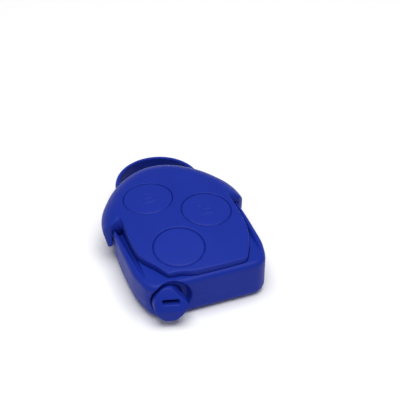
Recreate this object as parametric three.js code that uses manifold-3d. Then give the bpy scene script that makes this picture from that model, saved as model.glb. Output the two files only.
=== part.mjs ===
// Three-button key fob: crowned front cover, two body halves with a key-ring loop,
// blade socket at the lower left, and the electronics inside.
// Millimetres, lying on its back, +Z up, loop toward +Y.
import * as THREE from 'three';
import { mergeVertices } from 'three/addons/utils/BufferGeometryUtils.js';
import Module from 'manifold-3d';

const wasm = await Module();
wasm.setup();

// Heights
const HEIGHT = 15.4; // back face to the crown of the front cover
const CROWN_R = 150; // radius of the crowned front
const SPLIT_Z = 6.2; // parting plane of the two body halves
const SEAM = 0.15; // open line at the parting plane
const DECK_Z = 11.8; // flat deck around the panel
const SKIRT_Z = 4.9; // lower edge of the cover's wings
const FLOOR = 1.6; // thickness of the back wall
const CENTRE_Y = 0.4; // middle of the overall length in the coordinates used below
const FAR = 40; // reach of cutting tools past the part

// Front cover
const COVER_WALL = 1.7;
const EDGE_RUN = 6; // width of the rounded edge of the cover
const EDGE_DROP = 4.5; // fall of the rounded edge
const WING_END_Y = -0.3;
const WING_DRAFT = 0.945; // width of the wings at their lower edge against their widest
const PANEL_GAP = 0.15; // panel edge above the deck
const CORNER = { x: 2, fullX: 9, y: 14, fullY: 22, dx: 0.9, dy: 1.2 }; // the panel's near left corner
const LINING = { wall: 1, far: 2 }; // the panel's side walls, carried on under the wings
const TAB = { z: 10.5, thick: 0.9, width: 3 }; // tabs that locate the cover in the frame
const TABS = [
  { x0: -13.5, y0: -10, along: 'y' }, { x0: 11.4, y0: -15.2, along: 'y' },
  { x0: 12.4, y0: 4.5, along: 'y' }, { x0: -1.5, y0: 18.1, along: 'x' },
];
const RESTS = [{ x: 9.4, y: -17.4 }, { x: 8.5, y: 9.5 }, { x: -12.2, y: -6.5 }]; // hold the board down

// Valley between each side rail and the panel: its section at both ends as [x, z], floor first
const VALLEY = {
  nearY: -23.6, near: [[15.4, 11.7], [15.8, 11.7], [17, 12.8], [15.2, 12.8]],
  farY: 7, far: [[15.3, 8.4], [16.6, 8.4], [18.6, 12.8], [14.9, 12.8]],
};

// Key-ring loop
const LOOP_R = 12.3;
const LOOP_WALL = 1.3;
const LOOP_X = 0.9;
const LOOP_Y = 30.4 - LOOP_R;
const LOOP_TOP = 9.7;
const LOOP_LOW = 1.6;
const LOOP_GAP = 0.35; // to the rear cover below and the front cover above

// Blade socket
// The face leans over at the tip and is turned by some degrees, and its leading corner is blunted at the nose
const SOCKET = { x: -10.9, z: 6.3, r: 4.3, tip: -29, turn: -15, nose: -29.6 };
const RECESS = { dx: 0.35, dz: 0.3, r: 5.1, floor: -24, neck: 4.6 };
const BLOCK = { x: 3.5, z: 3.8, near: -22.4, far: -13.6 };
const BLADE_SLOT = { width: 4.3, height: 1.2, z: 7.7, end: -16.4 };
const SOCKET_GAP = 0.3;

// Body halves
const DOWELS = [{ x: 15.8, y: -9.5 }, { x: 15.8, y: 1 }];
const BOARD_POSTS = [
  { x: 12.4, y: 6.5 }, { x: -12.4, y: 6.5 }, { x: 11.8, y: -12.5 }, { x: -12.4, y: -10.4 },
];

// Buttons
const BUTTON_R = 6.65;
const BUTTON_GAP = 0.3;
const BUTTON_WALL = 1.4;
const FLANGE_R = 7.15;
const NIB = { r: 1.4, z: 10.02 };
const BUTTONS = [
  { key: 'lock', x: -6.2, y: 5.3, flangeZ: 12 },
  { key: 'unlock', x: 7.1, y: -4.4, flangeZ: 11.9 },
  { key: 'boot', x: -4.5, y: -15.4, flangeZ: 11 },
];

// Circuit board and its switches
const BOARD = { z0: 6.6, z1: 7.6, edge: 0.5 };
const SWITCH = { half: 2.3, top: 9.1, well: 1.6, wellZ: 8, lidZ: 8.75, hole: 1.15 };
const PLUNGER = { r: 0.95, top: 9.9, collar: 1.35, z0: 8.52, z1: 8.7 };
const DOME = { r: 1.45, z: 8.02, rise: 0.46, sheet: 0.12 };

// Coin cell and its contact strips
const CELL = { x: 1.5, y: 1.2, z: 2.5, r: 10, height: 3.2, lid: 8.9 };
const STRIP = 0.3;

// Right half of each outline from the near end to the far end, as [half width, y].
const BODY_HALF = [
  [0, -25.8], [6, -25.8], [12.4, -25.8], [14.5, -25.35], [15.95, -24.2], [16.8, -22.6], [17.5, -20],
  [18, -17], [18.1, -12], [18.15, -7], [18, -2], [17.5, 3], [16.9, 5.6], [15.7, 8.8],
  [13.6, 11.9], [11.4, 14.9], [8.7, 17.7], [6.4, 19.4], [3.5, 20.7], [0, 21.1],
];
const COVER_HALF = [
  [0, -32], [10, -32], [17, -31.6], [19.4, -29], [20, -20], [20.2, -10], [20.2, 0], [20.05, 3],
  [19.55, 5.6], [18.35, 8.8], [16.3, 12.2], [14.2, 15.2], [11.4, 18.2], [8, 20.8], [4.2, 22.7],
  [0, 23.4],
];
const PANEL_HALF = [
  [0, -24.5], [6, -24.5], [10.2, -24.3], [11.3, -23.6], [12.4, -21.7], [13.7, -18.8], [14.9, -15],
  [15.4, -12], [15.55, -8], [15.4, -2], [15.2, 3], [13, 6], [6, 7], [0, 7],
];
const SEAL_HALF = [
  [0, -22], [5, -22], [7.8, -21.9], [9.2, -21], [10.2, -19.8], [11.6, -16.5], [12.8, -12], [13.2, -8],
  [13.3, -4], [13.4, -0.5], [13.8, 4], [13.1, 8], [11.3, 11], [8.1, 13.4], [4, 14.7], [0, 15],
];
const CAVITY_HALF = [
  [0, -22.8], [5, -22.8], [9, -22.7], [10.4, -21.4], [12, -17.8], [13.2, -14.4], [13.8, -11],
  [14, -7], [14.1, -2], [14.2, 3], [13.6, 7], [12, 10.8], [9.8, 14.2], [7, 17], [3.8, 18.8],
  [0, 19.4],
];

// Edge of the body as [height, inset]: rounded along the back and along the deck.
const REAR_LEVELS = [
  [0, 2.2], [0.3, 1.5], [0.8, 0.95], [1.5, 0.6], [2.8, 0.3], [SPLIT_Z - SEAM / 2, 0.1],
];
const LEFT_TUCK = 0.9; // drawn in along the left of the back, and twice that beside the boss
const FRAME_LEVELS = [
  [SPLIT_Z + SEAM / 2, 0.1], [10.2, 0], [10.9, 0.2], [11.4, 0.6], [11.7, 1.05], [DECK_Z, 1.5],
];

const SHELL_BLUE = { color: '#2a3d9e', roughness: 0.42, metalness: 0 };
const BUTTON_BLUE = { color: '#2c40a4', roughness: 0.5, metalness: 0 };
const SEAL_BLUE = { color: '#20306f', roughness: 0.7, metalness: 0 };
const BOARD_GREEN = { color: '#1d5a38', roughness: 0.5, metalness: 0 };
const RESIN_BLACK = { color: '#1b1c1e', roughness: 0.6, metalness: 0 };
const SWITCH_GREY = { color: '#3a3b3e', roughness: 0.5, metalness: 0 };
const PLUNGER_TAN = { color: '#d8cdb4', roughness: 0.5, metalness: 0 };
const STEEL = { color: '#b9bcc0', roughness: 0.3, metalness: 1 };
const BRONZE = { color: '#c08a4e', roughness: 0.35, metalness: 1 };
const CERAMIC = { color: '#b59a72', roughness: 0.6, metalness: 0 };

const fob = new THREE.Group();
fob.name = 'key_fob';

function solid(geometry) {
  geometry.deleteAttribute('normal');
  geometry.deleteAttribute('uv');
  const clean = mergeVertices(geometry, 1e-5);
  return new wasm.Manifold(new wasm.Mesh({
    numProp: 3,
    vertProperties: new Float32Array(clean.attributes.position.array),
    triVerts: new Uint32Array(clean.index.array),
  }));
}

function addPiece(name, body, finish) {
  const data = body.getMesh();
  const geometry = new THREE.BufferGeometry();
  geometry.setAttribute('position', new THREE.BufferAttribute(data.vertProperties, 3));
  geometry.setIndex(new THREE.BufferAttribute(data.triVerts, 1));
  geometry.translate(0, -CENTRE_Y, 0);
  geometry.computeVertexNormals();
  const mesh = new THREE.Mesh(geometry, new THREE.MeshStandardMaterial(finish));
  mesh.name = name;
  fob.add(mesh);
}

// Closed outline, counter-clockwise, from its right half, with no point inside a straight run.
function outline(half, samples) {
  const curve = new THREE.SplineCurve(half.map(([x, y]) => new THREE.Vector2(x, y)));
  const right = curve.getPoints(samples);
  const left = right.slice(1, -1).reverse().map((p) => new THREE.Vector2(-p.x, p.y));
  const points = right.concat(left);
  return points.filter((p, i) => {
    const before = points.at(i - 1);
    const after = points[(i + 1) % points.length];
    return Math.abs(p.clone().sub(before).cross(after.clone().sub(p))) > 1e-4;
  });
}

function circle(x, y, r, segments) {
  return Array.from({ length: segments }, (_, i) => {
    const a = (i / segments) * 2 * Math.PI;
    return new THREE.Vector2(x + r * Math.cos(a), y + r * Math.sin(a));
  });
}

// The outline moved inward by a distance, along its own normals.
function inset(points, distance) {
  return points.map((p, i) => {
    const before = points.at(i - 1);
    const after = points[(i + 1) % points.length];
    const along = after.clone().sub(before).normalize();
    return new THREE.Vector2(p.x - along.y * distance, p.y + along.x * distance);
  });
}

// Inset of an outline with tight corners: points that land too near the old edge are dropped.
function shrunk(points, distance) {
  const edges = points.map((p, i) => new THREE.Line3(
    new THREE.Vector3(p.x, p.y, 0), new THREE.Vector3(points.at(i - 1).x, points.at(i - 1).y, 0)));
  const foot = new THREE.Vector3();
  return inset(points, distance).filter((p) => {
    const place = new THREE.Vector3(p.x, p.y, 0);
    const clearOf = (edge) => edge.closestPointToPoint(place, true, foot).distanceTo(place) > distance - 0.02;
    return edges.every(clearOf);
  });
}

function meshed(position, index) {
  const geometry = new THREE.BufferGeometry();
  geometry.setAttribute('position', new THREE.Float32BufferAttribute(position, 3));
  geometry.setIndex(index);
  return solid(geometry);
}

// Upright solid through outlines of equal length at rising heights.
function loft(levels) {
  const count = levels[0].points.length;
  const position = levels.flatMap(({ z, points }) => points.flatMap((p) => [p.x, p.y, z]));
  const index = [];
  for (let k = 0; k < levels.length - 1; k += 1) {
    for (let i = 0; i < count; i += 1) {
      const a = k * count + i;
      const b = k * count + ((i + 1) % count);
      index.push(a, b, b + count, a, b + count, a + count);
    }
  }
  const top = (levels.length - 1) * count;
  for (const [a, b, c] of THREE.ShapeUtils.triangulateShape(levels[0].points, [])) {
    index.push(a, c, b);
  }
  for (const [a, b, c] of THREE.ShapeUtils.triangulateShape(levels.at(-1).points, [])) {
    index.push(top + a, top + b, top + c);
  }
  return meshed(position, index);
}

function prism(points, z0, z1) {
  return loft([{ z: z0, points }, { z: z1, points }]);
}

function bodyLoft(levels) {
  return loft(levels.map(([z, distance]) => ({
    z, points: inset(bodyOutline, distance).map((point) => tucked(point, z)),
  })));
}

// A point of the body's outline at a height, drawn in along the left of the back.
function tucked({ x, y }, z) {
  const side = THREE.MathUtils.smoothstep(-x, 8, 17);
  const corner = 1 + THREE.MathUtils.smoothstep(-y, 10, 24);
  const drop = Math.max(0, 1 - z / SPLIT_Z);
  return new THREE.Vector2(x + LEFT_TUCK * side * corner * drop ** 2, y);
}

// A flat profile run along one axis: its own two axes and the run are given as directions.
function run(profile, length, across, up, along, start) {
  const shape = new THREE.Shape(profile.map(([a, b]) => new THREE.Vector2(a, b)));
  const geometry = new THREE.ExtrudeGeometry(shape, { depth: length, bevelEnabled: false });
  geometry.applyMatrix4(new THREE.Matrix4().makeBasis(across, up, along));
  geometry.translate(start.x, start.y, start.z);
  return solid(geometry);
}

const X_AXIS = new THREE.Vector3(1, 0, 0);
const Y_AXIS = new THREE.Vector3(0, 1, 0);
const Z_AXIS = new THREE.Vector3(0, 0, 1);

// Profile of [y, z] points run from x0 to x1.
function alongX(profile, x0, x1) {
  return run(profile, x1 - x0, Y_AXIS, Z_AXIS, X_AXIS, new THREE.Vector3(x0, 0, 0));
}

// Profile of [x, z] points run from y0 to y1.
function alongY(profile, y0, y1) {
  const toward = Y_AXIS.clone().negate();
  return run(profile, y1 - y0, X_AXIS, Z_AXIS, toward, new THREE.Vector3(0, y1, 0));
}

function box(x0, x1, y0, y1, z0, z1) {
  const geometry = new THREE.BoxGeometry(x1 - x0, y1 - y0, z1 - z0);
  geometry.translate((x0 + x1) / 2, (y0 + y1) / 2, (z0 + z1) / 2);
  return solid(geometry);
}

function post(x, y, r, z0, z1, segments) {
  const geometry = new THREE.CylinderGeometry(r, r, z1 - z0, segments);
  geometry.rotateX(Math.PI / 2);
  geometry.translate(x, y, (z0 + z1) / 2);
  return solid(geometry);
}

// Round bar along Y, on the socket's axis or beside it.
function socketBar(r, y0, y1, dx, dz) {
  const geometry = new THREE.CylinderGeometry(r, r, y1 - y0, 40);
  geometry.translate(SOCKET.x + dx, (y0 + y1) / 2, SOCKET.z + dz);
  return solid(geometry);
}

// Turned body about a vertical axis, from [r, z] points that start and end on the axis.
function turned(profile, x, y, segments) {
  const points = profile.map(([r, z]) => new THREE.Vector2(r, z));
  const geometry = new THREE.LatheGeometry(points, segments);
  geometry.rotateX(Math.PI / 2);
  geometry.translate(x, y, 0);
  return solid(geometry);
}

// Solid between a curved top and base; each height is a function of x, y and distance to the edge.
function crowned(points, centre, steps, topAt, baseSteps, baseAt) {
  const count = points.length;
  const position = [];
  const index = [];
  const addRings = (scales, heightAt, flip) => {
    const first = position.length / 3;
    for (const s of scales) {
      for (const p of points) {
        const x = centre.x + (p.x - centre.x) * s;
        const y = centre.y + (p.y - centre.y) * s;
        position.push(x, y, heightAt(x, y, (1 - s) * p.distanceTo(centre)));
      }
    }
    position.push(centre.x, centre.y, heightAt(centre.x, centre.y, FAR));
    const apex = first + scales.length * count;
    const face = (a, b, c) => index.push(a, ...(flip ? [c, b] : [b, c]));
    for (let i = 0; i < count; i += 1) {
      const j = (i + 1) % count;
      for (let k = 0; k < scales.length - 1; k += 1) {
        const a = first + k * count + i;
        const b = first + k * count + j;
        face(a, b, b + count);
        face(a, b + count, a + count);
      }
      face(apex - count + i, apex - count + j, apex);
    }
    return first;
  };
  const top = addRings(steps, topAt, false);
  const base = addRings(baseSteps, baseAt, true);
  for (let i = 0; i < count; i += 1) {
    const j = (i + 1) % count;
    index.push(base + i, base + j, top + j, base + i, top + j, top + i);
  }
  return meshed(position, index);
}

function crownAt(x, y) {
  return HEIGHT - (x * x + y * y) / (2 * CROWN_R);
}

// The crown, lowered by a depth and falling on a quarter ellipse along its edge.
function coverAt(x, y, edge, depth) {
  const t = Math.max(0, 1 - edge / (EDGE_RUN - depth));
  return crownAt(x, y) - depth - (EDGE_DROP - depth) * (1 - Math.sqrt(1 - t * t));
}

// An outline with its near left corner drawn in, clear of the boss.
function drawnIn(points) {
  return points.map(({ x, y }) => {
    const share = THREE.MathUtils.smoothstep(-x, CORNER.x, CORNER.fullX)
      * THREE.MathUtils.smoothstep(-y, CORNER.y, CORNER.fullY);
    return new THREE.Vector2(x + CORNER.dx * share, y + CORNER.dy * share);
  });
}

const bodyOutline = outline(BODY_HALF, 38);
const coverOutline = outline(COVER_HALF, 36);
const panelOutline = drawnIn(outline(PANEL_HALF, 26));
const sealOutline = drawnIn(outline(SEAL_HALF, 18));
const cavityOutline = outline(CAVITY_HALF, 26);

// All that lies nearer than the wings' ends, except the panel that reaches forward between them.
function beyondWings(endY, panel, panelZ) {
  const right = [
    [FAR, -FAR], [FAR, endY + 3.4], [20.4, endY + 3.4], [20, endY + 1.7], [19.3, endY + 0.8],
    [18.4, endY + 0.2], [17.4, endY],
  ];
  const left = right.slice().reverse().map(([x, y]) => [-x, y]);
  const area = right.concat(left).map(([x, y]) => new THREE.Vector2(x, y));
  const lean = alongX([
    [-FAR, 11.2], [endY, 11.2], [endY + 0.5, 12.6], [endY + 2.4, HEIGHT], [endY + 2.4, HEIGHT + 2],
    [-FAR, HEIGHT + 2],
  ], -FAR, FAR);
  return prism(area, -1, HEIGHT + 2).add(lean).subtract(prism(panel, panelZ, HEIGHT + 3));
}

// A locating tab of the cover, grown all round by a margin.
function tabBox({ x0, y0, along }, margin, z0, z1) {
  const dx = along === 'x' ? TAB.width : TAB.thick;
  const dy = along === 'y' ? TAB.width : TAB.thick;
  return box(x0 - margin, x0 + dx + margin, y0 - margin, y0 + dy + margin, z0, z1);
}

function makeFrontCover() {
  const centre = new THREE.Vector2(0, -1);
  const outerSteps = [1, 0.992, 0.97, 0.93, 0.87, 0.8, 0.72, 0.48, 0.24];
  const innerSteps = [1, 0.96, 0.88, 0.78, 0.6, 0.4, 0.2];
  const skirtTop = LOOP_TOP + LOOP_GAP;
  const underSkirt = alongX([
    [-FAR, -1], [FAR, -1], [FAR, skirtTop], [12, skirtTop], [9.6, 9], [7.6, 7.6], [5.8, 6.1],
    [4.2, SKIRT_Z + 0.15], [2.6, SKIRT_Z], [1.2, SKIRT_Z + 0.1], [0.3, SKIRT_Z + 0.6],
    [-0.2, SKIRT_Z + 1.8], [-0.5, SKIRT_Z + 3.7], [-FAR, SKIRT_Z + 3.7],
  ], -FAR, FAR);
  const shell = crowned(coverOutline, centre, outerSteps,
    (x, y, edge) => coverAt(x, y, edge, 0), [WING_DRAFT], () => SKIRT_Z - 0.4)
    .subtract(beyondWings(WING_END_Y, panelOutline, DECK_Z + PANEL_GAP))
    .subtract(underSkirt);
  const hollow = crowned(shrunk(coverOutline, COVER_WALL), centre, innerSteps,
    (x, y, edge) => coverAt(x, y, edge, COVER_WALL), [1], () => 4)
    .subtract(beyondWings(WING_END_Y - 0.1, shrunk(panelOutline, COVER_WALL), 3));
  const lining = prism(panelOutline, DECK_Z + PANEL_GAP, HEIGHT - COVER_WALL)
    .subtract(prism(shrunk(panelOutline, LINING.wall), 0, FAR))
    .subtract(box(-FAR, FAR, LINING.far, FAR, 0, FAR))
    .subtract(box(-FAR, FAR, -FAR, WING_END_Y - 1, 0, FAR));
  let cover = shell.subtract(hollow.subtract(lining));
  for (const { x, y } of RESTS) {
    cover = cover.add(post(x, y, 0.9, BOARD.z1 + 0.15, crownAt(x, y) - 1, 16));
  }
  for (const tab of TABS) {
    cover = cover.add(tabBox(tab, 0, TAB.z, crownAt(tab.x0, tab.y0) - 1.2));
  }
  for (const { x, y } of BUTTONS) {
    cover = cover.subtract(post(x, y, BUTTON_R + BUTTON_GAP, 5, HEIGHT + 2, 44));
  }
  return cover;
}

function makeButton({ x, y, flangeZ }) {
  const centre = new THREE.Vector2(x, y);
  const topAt = (px, py, edge) => crownAt(px, py) - 0.35 * Math.max(0, 1 - edge / 0.5) ** 2;
  const flangeAt = (px, py) => crownAt(px, py) - COVER_WALL - 0.2;
  const baseAt = () => flangeZ;
  const key = crowned(circle(x, y, BUTTON_R, 44), centre, [1, 0.96, 0.92, 0.5], topAt, [1], baseAt);
  const flange = crowned(circle(x, y, FLANGE_R, 44), centre, [1, 0.5], flangeAt, [1], baseAt)
    .intersect(prism(drawnIn(shrunk(cavityOutline, 0.6)), 5, FAR));
  const skin = crownAt(x, y) - 2.1;
  const hollow = post(x, y, BUTTON_R - BUTTON_WALL, flangeZ - 1, skin, 28);
  const nib = post(x, y, NIB.r, NIB.z, skin + 0.5, 16);
  return key.add(flange).subtract(hollow).add(nib);
}

function makeKeypadSeal() {
  const rings = [1, 0.7, 0.4];
  let seal = crowned(sealOutline, new THREE.Vector2(0, -4),
    rings, (x, y) => crownAt(x, y) - COVER_WALL - 0.25,
    rings, (x, y) => crownAt(x, y) - COVER_WALL - 1.05);
  for (const { x, y } of BUTTONS) {
    seal = seal.subtract(post(x, y, FLANGE_R + BUTTON_GAP, 5, HEIGHT, 36));
  }
  for (const { x, y } of RESTS) {
    seal = seal.subtract(post(x, y, 1.25, 5, HEIGHT, 16));
  }
  for (const tab of TABS) {
    seal = seal.subtract(tabBox(tab, 0.35, 5, HEIGHT));
  }
  return seal;
}

// Recess in the end wall, its neck, and the pocket for the socket's block.
function socketRoom() {
  const gap = SOCKET_GAP;
  return socketBar(RECESS.r, -FAR, RECESS.floor, RECESS.dx, RECESS.dz)
    .add(socketBar(RECESS.neck, RECESS.floor - 1, BLOCK.near + 0.8, 0, 0))
    .add(box(SOCKET.x - BLOCK.x - gap, SOCKET.x + BLOCK.x + gap, BLOCK.near - gap, BLOCK.far + gap,
      SOCKET.z - BLOCK.z - gap, SOCKET.z + BLOCK.z + gap));
}

function makeLoop() {
  const ring = (z0, z1) => prism(circle(LOOP_X, LOOP_Y, LOOP_R, 64), z0, z1)
    .subtract(prism(circle(LOOP_X, LOOP_Y, LOOP_R - LOOP_WALL, 64), z0 - 1, z1 + 1))
    .subtract(box(-FAR, FAR, -FAR, 13, z0 - 1, z1 + 1));
  const base = SPLIT_Z + SEAM / 2;
  const lower = ring(LOOP_LOW, base + 0.1)
    .subtract(prism(inset(bodyOutline, -LOOP_GAP), -1, base));
  return ring(base, LOOP_TOP).add(lower);
}

function makeBodyFrame() {
  const underCover = alongX([
    [WING_END_Y + 0.3, FAR], [WING_END_Y + 0.3, DECK_Z - 0.1], [LINING.far, DECK_Z - 0.1],
    [LINING.far, 10.9], [8, 10.1], [FAR, 10.1], [FAR, FAR],
  ], -FAR, FAR);
  const toPoints = (corners) => corners.map(([x, z]) => new THREE.Vector2(x, z));
  const valley = loft([
    { z: -VALLEY.farY, points: toPoints(VALLEY.far) },
    { z: -VALLEY.nearY, points: toPoints(VALLEY.near) },
  ]).rotate([90, 0, 0]);
  let frame = bodyLoft(FRAME_LEVELS).subtract(underCover)
    .subtract(valley)
    .subtract(valley.mirror([1, 0, 0]))
    .add(makeLoop())
    .subtract(prism(cavityOutline, -1, FAR))
    .subtract(socketRoom());
  for (const { x, y } of DOWELS) {
    for (const side of [-x, x]) {
      frame = frame.subtract(post(side, y, 1, SPLIT_Z - 1, SPLIT_Z + 1.5, 20));
    }
  }
  return frame;
}

function makeRearCover() {
  let rear = bodyLoft(REAR_LEVELS)
    .subtract(prism(cavityOutline, FLOOR, FAR))
    .subtract(socketRoom());
  for (const { x, y } of BOARD_POSTS) {
    rear = rear.add(post(x, y, 1.1, FLOOR - 0.5, BOARD.z0 - 0.05, 20));
  }
  for (const { x, y } of DOWELS) {
    for (const side of [-x, x]) {
      rear = rear.add(post(side, y, 0.7, SPLIT_Z - 1, SPLIT_Z + 1.2, 16));
    }
  }
  return rear;
}

function makeBladeSocket() {
  const { x, z, r, tip } = SOCKET;
  const half = BLADE_SLOT.width / 2;
  const brow = [
    [tip, -1], [tip, z - 0.5], [tip + 1.3, z + 1.7], [tip + 3.8, z + 4.5], [tip + 3.8, FAR], [-FAR, FAR],
    [-FAR, -1],
  ];
  const chin = [[tip, z - 3.9], [-FAR, z - 3.9], [-FAR, -1], [tip + 0.6, -1], [tip + 0.6, z - r]];
  const flank = [[x + 0.5, z + 4.7], [x + 4.6, z + 0.3], [x + 7, z + 6]];
  const cheek = [
    [x + 4.5, z + 0.7], [x + 2.6, z - 2], [x + 1.2, z - 3.5], [x - 0.8, z - 4.5], [x + 7, z - 4.6],
  ];
  const beyondFace = alongX(brow, x - 10, x + 10)
    .add(alongX(chin, x - 10, x + 10))
    .translate([-x, -tip, 0])
    .rotate([0, 0, SOCKET.turn])
    .translate([x, tip, 0])
    .add(box(x - 10, x + 10, -FAR, SOCKET.nose, -1, FAR));
  return socketBar(r, tip - 2, BLOCK.near + 0.5, 0, 0)
    .add(box(x - BLOCK.x, x + BLOCK.x, BLOCK.near, BLOCK.far, z - BLOCK.z, z + BLOCK.z))
    .subtract(beyondFace)
    .subtract(alongY(flank, -FAR, RECESS.floor - 0.3))
    .subtract(alongY(cheek, -FAR, RECESS.floor - 0.3))
    .subtract(box(x - half, x + half, -FAR, BLADE_SLOT.end,
      BLADE_SLOT.z - BLADE_SLOT.height / 2, BLADE_SLOT.z + BLADE_SLOT.height / 2));
}

function makeCircuitBoard() {
  const corner = SOCKET.x + BLOCK.x + SOCKET_GAP;
  return prism(shrunk(cavityOutline, BOARD.edge), BOARD.z0, BOARD.z1)
    .subtract(box(-FAR, corner, -FAR, BLOCK.far + SOCKET_GAP, 0, FAR))
    .subtract(box(-FAR, corner + 0.9, -FAR, BLOCK.near + 1, 0, FAR));
}

function makeSwitchBase({ x, y }) {
  const { half, top, well, wellZ, lidZ, hole } = SWITCH;
  return box(x - half, x + half, y - half, y + half, BOARD.z1, top)
    .subtract(post(x, y, well, wellZ, lidZ, 16))
    .subtract(post(x, y, hole, lidZ - 0.1, FAR, 16));
}

function makeSwitchDome({ x, y }) {
  const { r, z, rise, sheet } = DOME;
  const arc = [0, 0.35, 0.7, 1];
  const outer = arc.map((t) => [r * t, z + sheet + (rise - sheet) * (1 - t * t)]);
  const inner = arc.map((t) => [r * t, z + (rise - sheet) * (1 - t * t)]);
  return turned(inner.concat(outer.reverse()), x, y, 12);
}

function makePlunger({ x, y }) {
  const { r, top, collar, z0, z1 } = PLUNGER;
  const profile = [
    [0, z0], [collar, z0], [collar, z1], [r, z1], [r, top - 0.1], [r - 0.1, top], [0, top],
  ];
  return turned(profile, x, y, 16);
}

function makeCell() {
  const { x, y, z, r, height, lid } = CELL;
  return turned([
    [0, z], [r - 0.5, z], [r, z + 0.5], [r, z + height - 0.5], [r - 0.3, z + height - 0.25],
    [lid + 0.1, z + height - 0.25], [lid - 0.15, z + height], [0, z + height],
  ], x, y, 44);
}

// Strip from the board's underside, down beside the cell and back below it.
function makePositiveClip() {
  const top = BOARD.z0 - 0.02;
  const under = CELL.z - 0.08;
  const side = CELL.x + CELL.r + 0.25;
  return alongY([
    [side - 8, under - STRIP], [side + STRIP, under - STRIP], [side + STRIP, top - STRIP],
    [side + 1.8, top - STRIP], [side + 1.8, top], [side, top], [side, under], [side - 8, under],
  ], CELL.y - 2.5, CELL.y + 2.5);
}

// Leaf from the board's underside down to the middle of the cell's lid.
function makeNegativeContact() {
  const top = BOARD.z0 - 0.02;
  const touch = CELL.z + CELL.height + 0.05;
  return alongY([
    [-12.6, top - STRIP], [-9.6, top - STRIP], [-4, touch], [-2.4, touch], [-0.9, touch + 0.25],
    [-0.9, touch + 0.25 + STRIP], [-2.4, touch + STRIP], [-4, touch + STRIP], [-9.5, top], [-12.6, top],
  ], CELL.y - 2, CELL.y + 2);
}

function makeAntenna() {
  return prism(shrunk(cavityOutline, 1.1), BOARD.z1, BOARD.z1 + 1.7)
    .subtract(prism(shrunk(cavityOutline, 1.6), 0, FAR))
    .subtract(box(-FAR, FAR, -FAR, 5.5, 0, FAR));
}

// Block standing on the board, from its corner, width, depth and height.
function onBoard(x, y, width, depth, height) {
  return box(x, x + width, y, y + depth, BOARD.z1, BOARD.z1 + height);
}

addPiece('front_cover', makeFrontCover(), SHELL_BLUE);
addPiece('body_frame', makeBodyFrame(), SHELL_BLUE);
addPiece('rear_cover', makeRearCover(), SHELL_BLUE);
addPiece('blade_socket', makeBladeSocket(), SHELL_BLUE);
addPiece('keypad_seal', makeKeypadSeal(), SEAL_BLUE);
addPiece('circuit_board', makeCircuitBoard(), BOARD_GREEN);
for (const button of BUTTONS) {
  addPiece(`${button.key}_button`, makeButton(button), BUTTON_BLUE);
  addPiece(`${button.key}_switch_base`, makeSwitchBase(button), SWITCH_GREY);
  addPiece(`${button.key}_switch_dome`, makeSwitchDome(button), STEEL);
  addPiece(`${button.key}_switch_plunger`, makePlunger(button), PLUNGER_TAN);
}
addPiece('coin_cell', makeCell(), STEEL);
addPiece('cell_clip_positive', makePositiveClip(), BRONZE);
addPiece('cell_contact_negative', makeNegativeContact(), BRONZE);
addPiece('control_chip', onBoard(1.2, 3, 5.8, 4.6, 1.3), RESIN_BLACK);
addPiece('transmitter_chip', onBoard(0, -14, 4, 4, 1), RESIN_BLACK);
addPiece('resonator', onBoard(5.6, -14, 5, 3.2, 1.3), STEEL);
addPiece('supply_capacitor', onBoard(-3.6, 11.6, 3.2, 1.6, 1.6), CERAMIC);
addPiece('tuning_capacitor', onBoard(10.6, 1.2, 2, 1.3, 1), CERAMIC);
addPiece('antenna_strip', makeAntenna(), BRONZE);
addPiece('transponder_chip', box(0.5, 9.5, -20.5, -15.5, FLOOR + 0.05, FLOOR + 2.9), RESIN_BLACK);

export default fob;
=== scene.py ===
# Blue three-button key fob: a moulded casing with soft edges, and the electronics inside it.
import math

import bmesh
import bpy
from mathutils import Matrix, Vector


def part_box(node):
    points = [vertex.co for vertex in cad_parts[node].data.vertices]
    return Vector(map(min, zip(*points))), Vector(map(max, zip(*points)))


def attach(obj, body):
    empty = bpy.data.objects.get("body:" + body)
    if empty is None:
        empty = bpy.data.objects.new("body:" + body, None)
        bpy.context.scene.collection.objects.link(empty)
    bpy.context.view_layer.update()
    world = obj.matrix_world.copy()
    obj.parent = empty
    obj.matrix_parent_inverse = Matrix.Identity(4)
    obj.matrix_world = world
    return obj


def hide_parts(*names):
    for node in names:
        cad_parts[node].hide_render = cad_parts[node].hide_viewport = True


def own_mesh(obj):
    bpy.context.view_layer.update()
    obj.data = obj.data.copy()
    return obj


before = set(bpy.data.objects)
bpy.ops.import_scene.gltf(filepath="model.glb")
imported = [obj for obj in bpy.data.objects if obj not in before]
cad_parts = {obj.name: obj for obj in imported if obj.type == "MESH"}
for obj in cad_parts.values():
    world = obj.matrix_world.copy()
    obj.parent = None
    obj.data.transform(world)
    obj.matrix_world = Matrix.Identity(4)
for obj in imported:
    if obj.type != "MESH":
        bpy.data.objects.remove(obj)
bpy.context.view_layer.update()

# Pieces are modelled in millimetres, along the fob from the middle of its panel, and then brought
# to metres and to the frame's origin.
MM = 0.001
CENTRE_Y = 0.4
REACH = 40

# Heights
HEIGHT = 15.4
CROWN_R = 150
SPLIT_Z = 6.2
SEAM = 0.02
DECK_Z = 11.8
SKIRT_Z = 4.9
FLOOR = 1.6
OVERHEAD = HEIGHT + 2
BELOW_SEAL = 5

# How finely the moulded pieces are melted together, and how many times they are smoothed
CASE_GRAIN = 0.25
CASE_ROUNDS = 7
BACK_ROUNDS = 4
SOCKET_GRAIN = 0.15
SOCKET_ROUNDS = 9
BUTTON_GRAIN = 0.12
SEAL_GRAIN = 0.22
THIN_ROUNDS = 3

# Small slacks, and the angles below which edges are shaded smooth
HAIR = 0.01
INSET_SLACK = 0.02
SOFT_ANGLE = math.radians(40)
SPUN_ANGLE = math.radians(35)

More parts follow.
